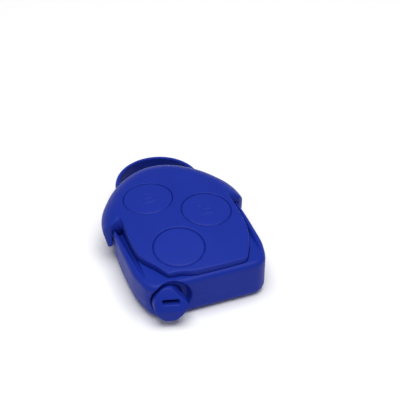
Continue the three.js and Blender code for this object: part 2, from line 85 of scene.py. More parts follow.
# Front cover, its crown made of rings that are shares of its outline
COVER_WALL = 1.7
EDGE_RUN = 6
EDGE_DROP = 4.5
COVER_CENTRE = Vector((0, -1))
COVER_RINGS = [1 - 0.3 * (i / 12) ** 2 for i in range(13)] + [0.55, 0.4, 0.25, 0.1]
HOLLOW_LOW = 4
SKIRT_STOCK = 0.5
WING_END_Y = -0.3
HOLLOW_NEAR = WING_END_Y - 0.1
WING_LEAN = [(-0.1, 10.2), (0.05, 11.6), (0.3, 12.7), (0.8, 13.7), (1.6, 14.5), (2.8, HEIGHT)]
WING_ARC = Vector((3, 3.4))
WING_INNER_X = 17.4
WING_DRAFT = 0.945
CURTAIN_NEAR = WING_END_Y - 0.8
CURTAIN_FAR = WING_END_Y + 2
CURTAIN_FIT = 0.15
CORNER_SHIFT = Vector((0.9, 1.2))
CORNER_ACROSS = (2, 9)
CORNER_ALONG = (14, 22)
PANEL_SINK = 0.7
PANEL_GAP = 0.12
PANEL_ROOM = 0.3
LINING_WALL = 1
LINING_NEAR = WING_END_Y - 1
LINING_FAR = 2

# Tabs that locate the cover, as corner and size, and rests that hold the board down
TAB_LOW = 10.5
TAB_ROOT = 1.2
TABS = [
    ((-13.5, -10), (0.9, 3)), ((11.4, -15.2), (0.9, 3)), ((12.4, 4.5), (0.9, 3)), ((-1.5, 18.1), (3, 0.9)),
]
REST_R = 0.9
REST_GAP = 0.15
REST_ROOT = 1
RESTS = [(9.4, -17.4), (8.5, 9.5), (-12.2, -6.5)]

# Body: the valley beside each rail is given by its section at both ends as (x, z), floor first
VALLEY_NEAR_Y = -23.6
VALLEY_NEAR = [(15.4, 11.7), (15.8, 11.7), (17, 12.8), (15.2, 12.8)]
VALLEY_FAR_Y = 7
VALLEY_FAR = [(15.3, 8.4), (16.6, 8.4), (18.6, 12.8), (14.9, 12.8)]
VALLEY_MIDDLE = 15.6
DECK_ROUND = 1.45
BACK_ROUND = 2.5
LEFT_TUCK = 0.9
TUCK_ACROSS = (8, 17)
TUCK_ALONG = (10, 24)
SEAM_STOCK = 1.5
SEAM_LAP = 0.1
CAVITY_MARGIN = 0.1
LEDGE_NEAR = WING_END_Y + 0.3
LEDGE_Z = DECK_Z - 0.1
SHELF_NEAR_Z = 10.9
SHELF_Y = 8
SHELF_Z = 10.1
BOARD_POSTS = [(12.4, 6.5), (-12.4, 6.5), (11.8, -12.5), (-12.4, -10.4)]
BOARD_POST_R = 1.1
BOARD_POST_ROOT = 0.1
BOARD_POST_GAP = 0.05

# Key-ring loop
LOOP_R = 12.3
LOOP_WALL = 1.3
LOOP_ROUND = 1.1
LOOP_CENTRE = Vector((0.9, 30.4 - LOOP_R))
LOOP_TOP = 9.7
LOOP_LOW = 1.6
LOOP_GAP = 0.35
LOOP_ROOT_Y = 13
LOOP_SIDES = 128

# Blade socket
SOCKET = Vector((-10.9, 6.3))
SOCKET_R = 4.3
SOCKET_TIP = -29
SOCKET_NOSE = -29.6
SOCKET_TURN = math.radians(-15)
SOCKET_GAP = 0.3
RECESS = SOCKET + Vector((0.6, 0.45))
RECESS_R = 5.7
RECESS_FLOOR = -24
RECESS_FLOOR_R = 4.9
NECK_R = 4
NECK_FIT = 0.12
SHOULDER_ROOM = 0.6
BLOCK_HALF = Vector((3.5, 3.8))
BLOCK_NEAR = -22.4
BLOCK_FAR = -13.6
NECK_NEAR = RECESS_FLOOR - 1
NECK_FAR = BLOCK_NEAR + 0.8
STEM_STOCK = 2
STEM_FAR = BLOCK_NEAR + 0.5
CHEEK_FAR = RECESS_FLOOR - 0.3
FACE_REACH = 10
SLOT_HALF = Vector((2.15, 0.6))
SLOT_Z = 7.7
SLOT_END = -16.4

# Buttons
BUTTON_R = 6.7
BUTTON_GAP = 0.06
BUTTON_WALL = 1.4
FLANGE_R = 7.15
NIB_R = 1.4
NIB_Z = 10.02
FLANGE_Z = {"lock": 12, "unlock": 11.9, "boot": 11}
FLANGE_DROP = 0.2
FLANGE_ROOM = 0.6
SKIN_DEPTH = 2.1
NIB_ROOT = 0.5
RIM_RINGS = [1, 0.995, 0.985, 0.97, 0.95, 0.92, 0.7, 0.4, 0.1]
RIM_DROP = 0.3
RIM_RUN = 0.8

# Padlock marks on two buttons, and how far each shackle is swung aside
MARK_OPENINGS = {"lock": 0, "unlock": -1.7}
MARK_LINE = 0.42
MARK_RISE = 0.14
MARK_REACH = 4
MARK_DEPTH = 1
MARK_LOW = Vector((-1.5, -1.9))
MARK_HIGH = Vector((1.5, 0.3))
SHACKLE_R = 1.05
SHACKLE_Y = 0.9

# Keypad seal, as depths below the crown
SEAL_TOP = COVER_WALL + 0.25
SEAL_UNDER = COVER_WALL + 1.05
SEAL_HOLE_R = FLANGE_R + 0.3
SEAL_CENTRE = Vector((0, -4))
SEAL_RINGS = [1, 0.95, 0.7, 0.4, 0.1]
SEAL_LOW = 9
SEAL_ROOM = 0.35
REST_HOLE_R = 1.25
BEAD_WIDTH = 0.8
BEAD_DROP = 0.4
BEAD_ROOT = 0.2
BEAD_EDGE = 0.3

# Circuit board, stepped back at the socket's block
BOARD_GAP = 0.5
BOARD_STEP = Vector((0.9, 1))
BOARD_EDGE = 0.07

# Switches, chips and the other electronics
SWITCH_HALF = 2.3
SWITCH_ROUND = 0.18
WELL_R = 1.6
WELL_RISE = 0.4
DISC_R = 1.45
DISC_LOW = 8.02
DISC_RISE = 0.34
DISC_SHEET = 0.12
LID_LOW = 8.78
LID_HIGH = 9.1
LID_LAP = 0.04
LID_ROUND = 0.1
LID_HOLE_R = 1.15
LEG_WIDTH = 0.8
LEG_SHIFTS = (-1.95, 1.15)
CHIP_LIFT = 0.12
CHIP_ROUND = 0.13
DIMPLE_R = 0.36
DIMPLE_IN = 0.75
DIMPLE_DEPTH = 0.09
LEAD_TOP = 0.68
LEAD_WIDTH = 0.3
LEAD_COUNTS = {"control_chip": 8, "transmitter_chip": 5}
CAP_WRAP = 0.04
CAP_SHARE = 0.2
CAP_ROUND = 0.08
CERAMIC_IN = 0.1
CERAMIC_LIFT = 0.02
CERAMIC_ROUND = 0.07
CAN_RIM = 0.12
CAN_BASE = 0.28
CAN_BASE_ROUND = 0.1
CAN_ROUND = 0.3
CELL_LIP = 0.25

# Copper routes on the board as (x, y), and printed frames round parts with their margins
TRACE_WIDTH = 0.32
TRACE_RISE = 0.045
TRACE_ROOT = 0.02
PAD_SHARE = 1.2
TRACE_ROUTES = [
    [(-7.6, 2.2), (-7.6, 0.6), (-6.4, -0.6), (-1.9, -0.6), (-0.4, 0.9), (-0.4, 3.2), (0.3, 3.9)],
    [(-4.8, 8.4), (-2.6, 8.4), (-1.2, 7), (0.3, 7)],
    [(5.6, -1.4), (5.6, 0.4), (4.6, 1.4), (4.6, 2.6)],
    [(8.4, -1.4), (8.4, 2.8), (8.1, 3.4)],
    [(-3.2, -12.4), (-3.2, -8.6), (-1.6, -7), (-1.6, -2.2), (1.4, 0.8), (1.4, 2.6)],
    [(-6, -12.4), (-6, -7.4), (-3, -4.4), (-3, 2.4), (-1.9, 3.5), (-1.9, 5), (-1, 5.9), (0.3, 5.9)],
    [(1.6, -9.6), (1.6, -4), (2.8, -2.8), (2.8, 2.6)],
    [(3.4, -9.6), (3.4, -7.2), (3.9, -6.7)],
    [(4.4, -12.4), (5.2, -12.4)],
    [(4.4, -13.4), (5.2, -13.4)],
    [(-11.6, 6.4), (-11.6, 1.8), (-9.8, 0), (-9.8, -8), (-7.2, -10.6), (-1.2, -10.6), (-0.4, -11.4)],
    [(-4.2, 12.4), (-7.4, 12.4), (-9.4, 10.4)],
    [(0.2, 12.4), (2.6, 12.4), (3.8, 11.2), (3.8, 8.2)],
    [(11.6, 3), (11.6, 6.4)],
    [(10.2, 1.8), (9.4, 1.8), (9.4, -7.4), (10.2, -8.2), (10.2, -10.4)],
    [(8.2, 6), (10, 6), (10.8, 6.8), (10.8, 9)],
]
PRINT_LINE = 0.14
PRINT_RISE = 0.03
PRINT_MARGINS = {
    "control_chip": 1.15, "transmitter_chip": 1.15, "resonator": 0.4, "supply_capacitor": 0.35,
    "tuning_capacitor": 0.35,
}

# Right half of each outline from the near end to the far end, as (half width, y)
BODY_HALF = [
    (0, -25.8), (6, -25.8), (12.4, -25.8), (14.5, -25.35), (15.95, -24.2), (16.8, -22.6), (17.5, -20),
    (18, -17), (18.1, -12), (18.15, -7), (18, -2), (17.5, 3), (16.9, 5.6), (15.7, 8.8), (13.6, 11.9),
    (11.4, 14.9), (8.7, 17.7), (6.4, 19.4), (3.5, 20.7), (0, 21.1),
]
COVER_HALF = [
    (0, -32), (10, -32), (17, -31.6), (19.4, -29), (20, -20), (20.2, -10), (20.2, 0), (20.05, 3),
    (19.55, 5.6), (18.35, 8.8), (16.3, 12.2), (14.2, 15.2), (11.4, 18.2), (8, 20.8), (4.2, 22.7),
    (0, 23.4),
]
PANEL_HALF = [
    (0, -24.5), (6, -24.5), (10.2, -24.3), (11.3, -23.6), (12.4, -21.7), (13.7, -18.8), (14.9, -15),
    (15.4, -12), (15.55, -8), (15.4, -2), (15.2, 3), (13, 6), (6, 7), (0, 7),
]
SEAL_HALF = [
    (0, -22), (5, -22), (7.8, -21.9), (9.2, -21), (10.2, -19.8), (11.6, -16.5), (12.8, -12), (13.2, -8),
    (13.3, -4), (13.4, -0.5), (13.8, 4), (13.1, 8), (11.3, 11), (8.1, 13.4), (4, 14.7), (0, 15),
]
CAVITY_HALF = [
    (0, -22.8), (5, -22.8), (9, -22.7), (10.4, -21.4), (12, -17.8), (13.2, -14.4), (13.8, -11), (14, -7),
    (14.1, -2), (14.2, 3), (13.6, 7), (12, 10.8), (9.8, 14.2), (7, 17), (3.8, 18.8), (0, 19.4),
]


def smooth_through(points, count, before=None, after=None):
    """Points along a smooth curve through the given ones, and on from and to others."""
    ends = [before or points[0], *points, after or points[-1]]
    curve = []
    for step in range(count + 1):
        place = step / count * (len(points) - 1)
        i = min(int(place), len(points) - 2)
        t = place - i
        a, b, c, d = (Vector(p) for p in ends[i:i + 4])
        curve.append(0.5 * (2 * b + (c - a) * t + (2 * a - 5 * b + 4 * c - d) * t ** 2
                            + (3 * b - a - 3 * c + d) * t ** 3))
    return curve


def outline(half, count=90):
    """Closed outline, counter-clockwise, from its right half."""
    mirrored = [(-x, y) for x, y in (half[1], half[-2])]
    right = smooth_through(half, count, *mirrored)
    return right + [Vector((-p.x, p.y)) for p in reversed(right[1:-1])]


def inset(points, distance):
    """The outline drawn in by a distance; points that land too near the old edge are dropped."""
    drawn = []
    for i, point in enumerate(points):
        heading = (points[(i + 1) % len(points)] - points[i - 1]).normalized()
        moved = point + distance * Vector((-heading.y, heading.x))
        if min((moved - p).length for p in points) > abs(distance) - INSET_SLACK:
            drawn.append(moved)
    return drawn


def smoothstep(value, low, high):
    """A share that grows smoothly from none at the low end to all at the high end."""
    t = min(1, max(0, (value - low) / (high - low)))
    return t * t * (3 - 2 * t)


def circle(centre, radius, count=96):
    turn = 2 * math.pi / count
    return [centre + radius * Vector((math.cos(i * turn), math.sin(i * turn))) for i in range(count)]


def ribbon(route, width):
    """Outline of a flat strip of one width along a route of points."""
    points = [Vector(p) for p in route]
    left = []
    right = []
    for i, point in enumerate(points):
        before = (point - points[i - 1]).normalized() if i else None
        after = (points[i + 1] - point).normalized() if i + 1 < len(points) else None
        heading = ((before or after) + (after or before)).normalized()
        side = Vector((-heading.y, heading.x)) * width / 2 / heading.dot(before or after)
        left.append(point + side)
        right.append(point - side)
    return right + left[::-1]


def select_only(piece):
    bpy.ops.object.select_all(action="DESELECT")
    piece.select_set(True)
    bpy.context.view_layer.objects.active = piece


def slab(corners, sweep):
    """A flat face on the corner points, pulled along the sweep into a closed solid."""
    bpy.ops.object.select_all(action="DESELECT")
    bpy.ops.mesh.primitive_circle_add(vertices=len(corners), fill_type="NGON")
    piece = bpy.context.object
    for vertex, corner in zip(piece.data.vertices, corners):
        vertex.co = corner
    bpy.ops.object.mode_set(mode="EDIT")
    bpy.ops.mesh.select_all(action="SELECT")
    bpy.ops.mesh.extrude_region_move(TRANSFORM_OT_translate={"value": sweep})
    bpy.ops.mesh.select_all(action="SELECT")
    bpy.ops.mesh.normals_make_consistent(inside=False)
    bpy.ops.object.mode_set(mode="OBJECT")
    return piece


def upright(points, low, high):
    return slab([(p.x, p.y, low) for p in points], (0, 0, high - low))


def across(profile, left, right):
    """A profile of (y, z) points pulled from left to right."""
    return slab([(left, y, z) for y, z in profile], (right - left, 0, 0))


def along(profile, near, far):
    """A profile of (x, z) points pulled from the near to the far end."""
    return slab([(x, near, z) for x, z in profile], (0, far - near, 0))


def block(low, high):
    corners = [(low[0], low[1]), (high[0], low[1]), (high[0], high[1]), (low[0], high[1])]
    return slab([(x, y, low[2]) for x, y in corners], (0, 0, high[2] - low[2]))


def post(centre, radius, low, high, count=48):
    return upright(circle(Vector(centre), radius, count), low, high)


def bar(centre, radius, near, far, far_radius=None):
    """Round bar along the fob about an (x, z) centre, tapered when its far end has its own radius."""
    piece = along([tuple(p) for p in circle(centre, radius)], near, far)
    if far_radius:
        for vertex in piece.data.vertices:
            if vertex.co.y > (near + far) / 2:
                vertex.co.xz = centre + (vertex.co.xz - centre) * far_radius / radius
    return piece


def combine(piece, tool, operation):
    select_only(piece)
    step = piece.modifiers.new("combine", "BOOLEAN")
    step.operation = operation
    step.solver = "MANIFOLD"
    step.object = tool
    bpy.ops.object.modifier_apply(modifier=step.name)
    bpy.data.meshes.remove(tool.data)
    return piece


def cut(piece, *tools):
    for tool in tools:
        combine(piece, tool, "DIFFERENCE")
    return piece


def join(piece, *others):
    for other in others:
        combine(piece, other, "UNION")
    return piece


def copy_of(piece, offset):
    """A second piece with its own mesh, moved by an offset."""
    select_only(piece)
    bpy.ops.object.duplicate(linked=False)
    twin = bpy.context.object
    twin.data.transform(Matrix.Translation(offset))
    return twin


def gather(pieces):
    """Loose pieces made one object."""
    select_only(pieces[0])
    for piece in pieces:
        piece.select_set(True)
    bpy.ops.object.join()
    return pieces[0]


def roll_edges(piece, radius, chosen=None, segments=3):
    """Rolls the edges round the chosen faces, or every edge of a piece."""
    select_only(piece)
    bpy.ops.object.mode_set(mode="EDIT")
    bpy.ops.mesh.select_mode(type="FACE")
    bpy.ops.mesh.select_all(action="SELECT")
    if chosen:
        mesh = bmesh.from_edit_mesh(piece.data)
        for face in mesh.faces:
            face.select_set(chosen(face.calc_center_median()))
        bmesh.update_edit_mesh(piece.data)
    bpy.ops.mesh.bevel(offset=radius, segments=segments, affect="EDGES")
    bpy.ops.object.mode_set(mode="OBJECT")
    bpy.ops.object.shade_smooth_by_angle(angle=SOFT_ANGLE)
    return piece


def crowned(points, centre, scales, base, height_at, draft=1):
    """An outline pulled up and drawn in ring by ring, each ring laid on a curved top."""
    bpy.ops.object.select_all(action="DESELECT")
    bpy.ops.mesh.primitive_circle_add(vertices=len(points), fill_type="NGON")
    piece = bpy.context.object
    for vertex, point in zip(piece.data.vertices, points):
        vertex.co = (*(centre + (point - centre) * draft), base)
    bpy.ops.object.mode_set(mode="EDIT")
    bpy.ops.mesh.select_all(action="SELECT")
    before = draft
    for scale in scales:
        bpy.ops.mesh.extrude_region_move()
        share = scale / before
        bpy.ops.transform.resize(value=(share, share, 1), center_override=(*centre, 0))
        before = scale
        mesh = bmesh.from_edit_mesh(piece.data)
        for vertex in mesh.verts:
            if vertex.select:
                reach = (vertex.co.xy - centre).length
                vertex.co.z = height_at(vertex.co.x, vertex.co.y, reach * (1 - scale) / scale)
        bmesh.update_edit_mesh(piece.data)
    bpy.ops.mesh.select_all(action="SELECT")
    bpy.ops.mesh.normals_make_consistent(inside=False)
    bpy.ops.object.mode_set(mode="OBJECT")
    return piece


def turned(profile, centre, steps=72):
    """A profile of (radius, height) points, from axis to axis, spun about an upright axis."""
    bpy.ops.object.select_all(action="DESELECT")
    bpy.ops.mesh.primitive_circle_add(vertices=len(profile), fill_type="NOTHING")
    piece = bpy.context.object
    for vertex, (radius, height) in zip(piece.data.vertices, profile):
        vertex.co = (centre[0] + radius, centre[1], height)
    bpy.ops.object.mode_set(mode="EDIT")
    bpy.ops.mesh.select_mode(type="EDGE")
    bpy.ops.mesh.select_all(action="DESELECT")
    mesh = bmesh.from_edit_mesh(piece.data)
    for edge in mesh.edges:
        edge.select_set(all(abs(v.co.x - centre[0]) < 1e-6 for v in edge.verts))
    bmesh.update_edit_mesh(piece.data)
    bpy.ops.mesh.delete(type="EDGE")
    bpy.ops.mesh.select_all(action="SELECT")
    bpy.ops.mesh.spin(steps=steps, angle=2 * math.pi, center=(*centre, 0), axis=(0, 0, 1))
    bpy.ops.mesh.select_all(action="SELECT")
    bpy.ops.mesh.remove_doubles(threshold=1e-4)
    bpy.ops.mesh.normals_make_consistent(inside=False)
    bpy.ops.object.mode_set(mode="OBJECT")
    bpy.ops.object.shade_smooth_by_angle(angle=SPUN_ANGLE)
    return piece


def crown_at(x, y):
    return HEIGHT - (x * x + y * y) / (2 * CROWN_R)


def cover_at(x, y, edge, depth):
    """The crown, lowered by a depth and falling on a quarter ellipse along its edge."""
    t = max(0, 1 - edge / (EDGE_RUN - depth))
    return crown_at(x, y) - depth - (EDGE_DROP - depth) * (1 - math.sqrt(1 - t * t))


def soften(piece, grain, rounds):
    """Melts the solid into one even skin, so that its edges are rolled as a mould leaves them."""
    select_only(piece)
    skin = piece.modifiers.new("skin", "REMESH")
    skin.mode = "VOXEL"
    skin.voxel_size = grain
    bpy.ops.object.modifier_apply(modifier=skin.name)
    roll = piece.modifiers.new("roll", "SMOOTH")
    roll.iterations = rounds
    bpy.ops.object.modifier_apply(modifier=roll.name)
    bpy.ops.object.shade_smooth()
    return piece


def place(piece, name, body, slot, material, *nodes):
    """Brings a finished piece to the frame, and says what it rides on and stands for."""
    piece.data.transform(Matrix.Translation((0, -CENTRE_Y * MM, 0)) @ Matrix.Scale(MM, 4))
    piece.name = name
    piece.data.name = name
    piece.data.materials.clear()
    piece.data.materials.append(material)
    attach(piece, body)
    if nodes:
        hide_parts(*nodes)
    return piece


def room(node):
    """A CAD node's lowest and highest corners, in millimetres along the fob."""
    return [corner / MM + Vector((0, CENTRE_Y, 0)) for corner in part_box(node)]


def axis_of(node):
    """Where a node's upright axis stands."""
    low, high = room(node)
    return ((low + high) / 2).xy


def drawn_in(points):
    """An outline with its near left corner drawn in, clear of the boss."""
    return [p + CORNER_SHIFT * smoothstep(-p.x, *CORNER_ACROSS) * smoothstep(-p.y, *CORNER_ALONG)
            for p in points]


body_outline = outline(BODY_HALF)
cover_outline = outline(COVER_HALF)
panel_outline = drawn_in(outline(PANEL_HALF))
seal_outline = drawn_in(outline(SEAL_HALF))
cavity_outline = outline(CAVITY_HALF)
BUTTONS = {key: axis_of(f"{key}_switch_base") for key in FLANGE_Z}
BOARD_LOW, BOARD_HIGH = (corner.z for corner in room("circuit_board"))


def beyond_wings(end, panel, panel_low):
    """All that lies nearer than the wings' ends, which lean back, except the panel between them."""
    turns = [i / 12 * math.pi / 2 for i in range(13)]
    arc = [Vector((WING_INNER_X + WING_ARC.x * math.cos(a), end + WING_ARC.y * (1 - math.sin(a))))
           for a in turns]
    right = [Vector((REACH, -REACH)), Vector((REACH, end + WING_ARC.y)), *arc]
    left = [Vector((-p.x, p.y)) for p in reversed(right)]
    back = smooth_through([(end + y, z) for y, z in WING_LEAN], 20)
    lean = [(-REACH, back[0].y), *[tuple(p) for p in back], (back[-1].x, OVERHEAD), (-REACH, OVERHEAD)]
    area = join(upright(right + left, -1, OVERHEAD), across(lean, -REACH, REACH))
    return cut(area, upright(panel, panel_low, OVERHEAD + 1))


def make_front_cover():
    """Crowned cover with wings and panel, hollow inside, with its rests, tabs and button holes."""
    shell = crowned(cover_outline, COVER_CENTRE, COVER_RINGS, SKIRT_Z - SKIRT_STOCK,
                    lambda x, y, e: cover_at(x, y, e, 0), WING_DRAFT)
    skirt_top = LOOP_TOP + LOOP_GAP
    sweep = smooth_through([(12, skirt_top), (9.6, 9), (7.6, 7.6), (5.8, 6.1), (4.2, SKIRT_Z + 0.15),
                            (2.6, SKIRT_Z), (1.2, SKIRT_Z + 0.1), (0.3, SKIRT_Z + 0.6),
                            (-0.2, SKIRT_Z + 1.8), (-0.5, SKIRT_Z + 3.7)], 40)
    below = [(-REACH, -1), (REACH, -1), (REACH, skirt_top), *[tuple(p) for p in sweep],
             (-REACH, sweep[-1].y)]
    panel_low = DECK_Z - PANEL_SINK
    cut(shell, beyond_wings(WING_END_Y, panel_outline, panel_low), across(below, -REACH, REACH))
    hollow = crowned(inset(cover_outline, COVER_WALL), COVER_CENTRE, COVER_RINGS, HOLLOW_LOW,
                     lambda x, y, e: cover_at(x, y, e, COVER_WALL))
    cut(hollow, beyond_wings(HOLLOW_NEAR, inset(panel_outline, COVER_WALL), HOLLOW_LOW - 1))
    lining = upright(panel_outline, panel_low, HEIGHT - COVER_WALL)
    cut(lining, upright(inset(panel_outline, LINING_WALL), 0, REACH),
        block((-REACH, LINING_FAR, 0), (REACH, REACH, REACH)),
        block((-REACH, -REACH, 0), (REACH, LINING_NEAR, REACH)))
    curtain = block((-REACH, CURTAIN_NEAR, 0), (REACH, CURTAIN_FAR, REACH))
    cut(curtain, upright(inset(cavity_outline, -CAVITY_MARGIN), -1, REACH), body_top(-2, CURTAIN_FIT))
    cut(hollow, lining, curtain)
    cut(shell, hollow)
    for x, y in RESTS:
        join(shell, post((x, y), REST_R, BOARD_HIGH + REST_GAP, crown_at(x, y) - REST_ROOT))
    for (x, y), (width, depth) in TABS:
        join(shell, block((x, y, TAB_LOW), (x + width, y + depth, crown_at(x, y) - TAB_ROOT)))
    for spot in BUTTONS.values():
        cut(shell, post(spot, BUTTON_R + BUTTON_GAP, BELOW_SEAL, OVERHEAD, 96))
    return soften(shell, CASE_GRAIN, CASE_ROUNDS)


def socket_room():
    """Dish in the end wall, its neck, and the pocket for the socket's block."""
    half = BLOCK_HALF + Vector((SOCKET_GAP, SOCKET_GAP))
    wall = min(p.y for p in body_outline)
    dish = bar(RECESS, RECESS_R, wall - HAIR, RECESS_FLOOR, RECESS_FLOOR_R)
    neck = bar(SOCKET, NECK_R, NECK_NEAR, NECK_FAR)
    pocket = block((SOCKET.x - half.x, BLOCK_NEAR - SOCKET_GAP, SOCKET.y - half.y),
                   (SOCKET.x + half.x, BLOCK_FAR + SOCKET_GAP, SOCKET.y + half.y))
    return join(dish, bar(RECESS, RECESS_R, wall - 1, wall), neck, pocket)


def make_loop():
    """Thin upright band for a key ring, its outer top edge rolled, clear of the rear cover."""
    ring = upright(circle(LOOP_CENTRE, LOOP_R, LOOP_SIDES), LOOP_LOW, LOOP_TOP)
    roll_edges(ring, LOOP_ROUND, lambda middle: middle.z > LOOP_TOP - HAIR, 8)
    hole = upright(circle(LOOP_CENTRE, LOOP_R - LOOP_WALL, LOOP_SIDES), 0, HEIGHT)
    cut(ring, hole, block((-REACH, -REACH, 0), (REACH, LOOP_ROOT_Y, HEIGHT)))
    return cut(ring, upright(inset(body_outline, -LOOP_GAP), 0, SPLIT_Z - SEAM_STOCK))


def rail_valley(side, margin):
    """Wedge that cuts the valley beside a rail, less a margin, deepest where the rail goes under the wing."""
    near, far = ([(side * (x + margin * (x < VALLEY_MIDDLE)), z + margin) for x, z in section]
                 for section in (VALLEY_NEAR, VALLEY_FAR))
    wedge = along(near, VALLEY_NEAR_Y, VALLEY_FAR_Y)
    for vertex in wedge.data.vertices:
        if vertex.co.y > 0:
            corner = min(range(len(near)), key=lambda i: (Vector(near[i]) - vertex.co.xz).length)
            vertex.co.xz = far[corner]
    return wedge


def body_top(low, margin):
    """The body above a height as one solid, with the valleys beside its rails, grown by a margin."""
    solid = upright(inset(body_outline, -margin), low, DECK_Z + margin)
    roll_edges(solid, DECK_ROUND, lambda middle: middle.z > DECK_Z + margin - HAIR, 8)
    return cut(solid, rail_valley(1, margin), rail_valley(-1, margin))


def part_at_seam(piece, *waste):
    """Takes the waste off a softened half, which leaves its edges crisp where it meets other pieces."""
    cut(piece, *waste)
    bpy.ops.object.shade_smooth_by_angle(angle=SOFT_ANGLE)
    return piece


def make_body_frame():
    """Upper half of the body with the loop, stepped down under the cover, with a rebate for the panel."""
    shell = body_top(SPLIT_Z - SEAM_STOCK, 0)
    under_cover = [(LEDGE_NEAR, REACH), (LEDGE_NEAR, LEDGE_Z), (LINING_FAR, LEDGE_Z),
                   (LINING_FAR, SHELF_NEAR_Z), (SHELF_Y, SHELF_Z), (REACH, SHELF_Z), (REACH, REACH)]
    cut(shell, across(under_cover, -REACH, REACH))
    join(shell, make_loop())
    cut(shell, upright(cavity_outline, -1, REACH), socket_room())
    soften(shell, CASE_GRAIN, CASE_ROUNDS)
    rebate = upright(inset(panel_outline, -PANEL_GAP), DECK_Z - PANEL_SINK - PANEL_ROOM, REACH)
    below_seam = upright(inset(body_outline, SEAM_LAP - LOOP_GAP), 0, SPLIT_Z + SEAM / 2)
    return part_at_seam(shell, below_seam, rebate)


def make_rear_cover():
    """Lower half of the body with the floor and the board's posts, tucked in along the left of its back."""
    shell = upright(body_outline, 0, SPLIT_Z + SEAM_STOCK)
    roll_edges(shell, BACK_ROUND, lambda middle: middle.z < HAIR, 10)
    for vertex in shell.data.vertices:
        side = smoothstep(-vertex.co.x, *TUCK_ACROSS)
        corner = 1 + smoothstep(-vertex.co.y, *TUCK_ALONG)
        vertex.co.x += LEFT_TUCK * side * corner * max(0, 1 - vertex.co.z / SPLIT_Z) ** 2
    cut(shell, upright(cavity_outline, FLOOR, REACH), socket_room())
    soften(shell, CASE_GRAIN, BACK_ROUNDS)
    part_at_seam(shell, block((-REACH, -REACH, SPLIT_Z - SEAM / 2), (REACH, REACH, REACH)))
    for spot in BOARD_POSTS:
        join(shell, post(spot, BOARD_POST_R, FLOOR - BOARD_POST_ROOT, BOARD_LOW - BOARD_POST_GAP))
    return shell


def make_blade_socket():
    """Boss with a slanted, slotted face, on a stem that goes through the end wall to its clamped block."""
    x, z = SOCKET
    half = BLOCK_HALF
    stem = bar(SOCKET, SOCKET_R, SOCKET_TIP - STEM_STOCK, RECESS_FLOOR - SHOULDER_ROOM)
    join(stem, bar(SOCKET, NECK_R - NECK_FIT, NECK_NEAR, STEM_FAR),
         block((x - half.x, BLOCK_NEAR, z - half.y), (x + half.x, BLOCK_FAR, z + half.y)))
    tip = SOCKET_TIP
    face = smooth_through([(tip, z - 0.7), (tip + 1.2, z + 1.6), (tip + 2.5, z + 3.2),
                           (tip + 3.9, z + 4.6)], 12)
    brow = [(tip, -1), *[tuple(p) for p in face], (tip + 3.9, REACH), (-REACH, REACH), (-REACH, -1)]
    chin = [(tip, z - 3.9), (-REACH, z - 3.9), (-REACH, -1), (tip + 0.6, -1), (tip + 0.6, z - SOCKET_R)]
    flank = [(x + 0.5, z + 4.7), (x + 4.6, z + 0.3), (x + 7, z + 6)]
    cheek = [(x + 4.5, z + 0.7), (x + 2.6, z - 2), (x + 1.2, z - 3.5), (x - 0.8, z - 4.5), (x + 7, z - 4.6)]
    slot = block((x - SLOT_HALF.x, -REACH, SLOT_Z - SLOT_HALF.y),
                 (x + SLOT_HALF.x, SLOT_END, SLOT_Z + SLOT_HALF.y))
    left = x - FACE_REACH
    right = x + FACE_REACH
    beyond_face = join(across(brow, left, right), across(chin, left, right))
    pivot = Matrix.Translation((x, tip, 0))
    beyond_face.data.transform(pivot @ Matrix.Rotation(SOCKET_TURN, 4, "Z") @ pivot.inverted())
    nose = block((left, -REACH, -1), (right, SOCKET_NOSE, REACH))
    cut(stem, beyond_face, nose, slot, *[along(side, -REACH, CHEEK_FAR) for side in (flank, cheek)])
    return soften(stem, SOCKET_GRAIN, SOCKET_ROUNDS)


def padlock_mark(centre, opening):
    """Strokes of a padlock raised on the crown, its shackle swung aside by the opening."""
    line = MARK_LINE
    low = crown_at(*centre) - MARK_DEPTH
    high = crown_at(*centre) + MARK_DEPTH
    frame_low = centre + MARK_LOW
    frame_high = centre + MARK_HIGH
    mark = block((*frame_low, low), (*frame_high, high))
    cut(mark, block((frame_low.x + line, frame_low.y + line, 0),
                    (frame_high.x - line, frame_high.y - line, REACH)))
    pivot = centre + Vector((opening, SHACKLE_Y))
    shackle = cut(post(pivot, SHACKLE_R, low, high, 64), post(pivot, SHACKLE_R - line, 0, REACH, 64))
    cut(shackle, block((-REACH, -REACH, 0), (REACH, pivot.y, REACH)))
    legs = [1] if opening else [-1, 1]
    for side in legs:
        middle = pivot.x + side * (SHACKLE_R - line / 2)
        join(shackle, block((middle - line / 2, frame_high.y - 0.1, low),
                            (middle + line / 2, pivot.y + 0.05, high)))
    for stroke in (mark, shackle):
        raised = crowned(circle(centre, MARK_REACH, 48), centre, [1, 0.7, 0.4, 0.1], low - 1,
                         lambda x, y, e: crown_at(x, y) + MARK_RISE)
        combine(stroke, raised, "INTERSECT")
    return [mark, shackle]


